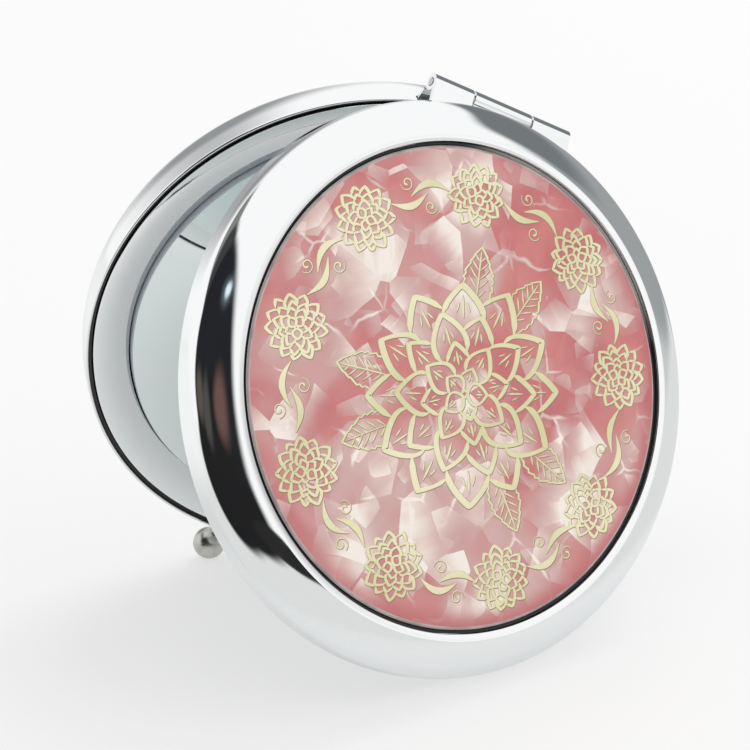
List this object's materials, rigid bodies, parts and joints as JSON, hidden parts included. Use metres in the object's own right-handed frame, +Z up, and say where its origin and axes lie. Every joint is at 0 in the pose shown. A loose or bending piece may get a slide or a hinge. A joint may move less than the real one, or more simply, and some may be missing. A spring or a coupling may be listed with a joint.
{
  "type": "folding makeup mirror",
  "caption": "Round folding makeup mirror of two hinged chrome shells with mirrors inside, a pearl inlay in the lid and a ball-headed push latch.",
  "frame": {"origin": "middle of the footprint on the ground, with the mirror standing open like a tent on the rims of both shells and the ball of the latch", "axes": "+Z up, -Y the side that the lid's outer face looks to, +X towards the end where the hinge is"},
  "size_m": [0.0694, 0.059, 0.0691],
  "materials": {
    "polished_chrome": "polished chrome plate, mirror bright",
    "plated_steel": "plated steel, satin",
    "silvered_glass": "back-silvered glass with a ground edge",
    "pearl_resin": "glossy salmon pink pearl resin with a raised pale gilt line print",
    "black_film": "matt black adhesive film",
    "foam_tape": "matt white foam tape"
  },
  "bodies": {
    "base": {"base_shell": "polished_chrome", "base_liner": "polished_chrome", "base_mirror": "silvered_glass", "base_mirror_tape": "foam_tape", "base_hinge_leaf": "polished_chrome", "hinge_pin": "plated_steel", "latch_keeper": "plated_steel", "latch_spring": "plated_steel"},
    "lid": {"lid_shell": "polished_chrome", "lid_inlay": "pearl_resin", "lid_inlay_tape": "black_film", "lid_liner": "polished_chrome", "lid_mirror": "silvered_glass", "lid_mirror_tape": "foam_tape", "lid_strike": "plated_steel", "lid_hinge_leaf": "polished_chrome"},
    "latch": {"latch_button": "polished_chrome", "latch_hook": "plated_steel"}
  },
  "joints": [
    {"name": "lid_hinge", "type": "hinge", "parent": "base", "child": "lid", "pos_m": [0.0161, -0.00052, 0.06317], "axis": [-0.8768, 0, 0.4809], "range_deg": [-40.4, 139.6]},
    {"name": "latch_press", "type": "slide", "parent": "base", "child": "latch", "axis": [0.4514, -0.3453, 0.8228], "range_m": [0, 0.001], "stiffness_N_per_m": 600, "springref_m": -0.001, "deforming": ["latch_spring"]}
  ]
}
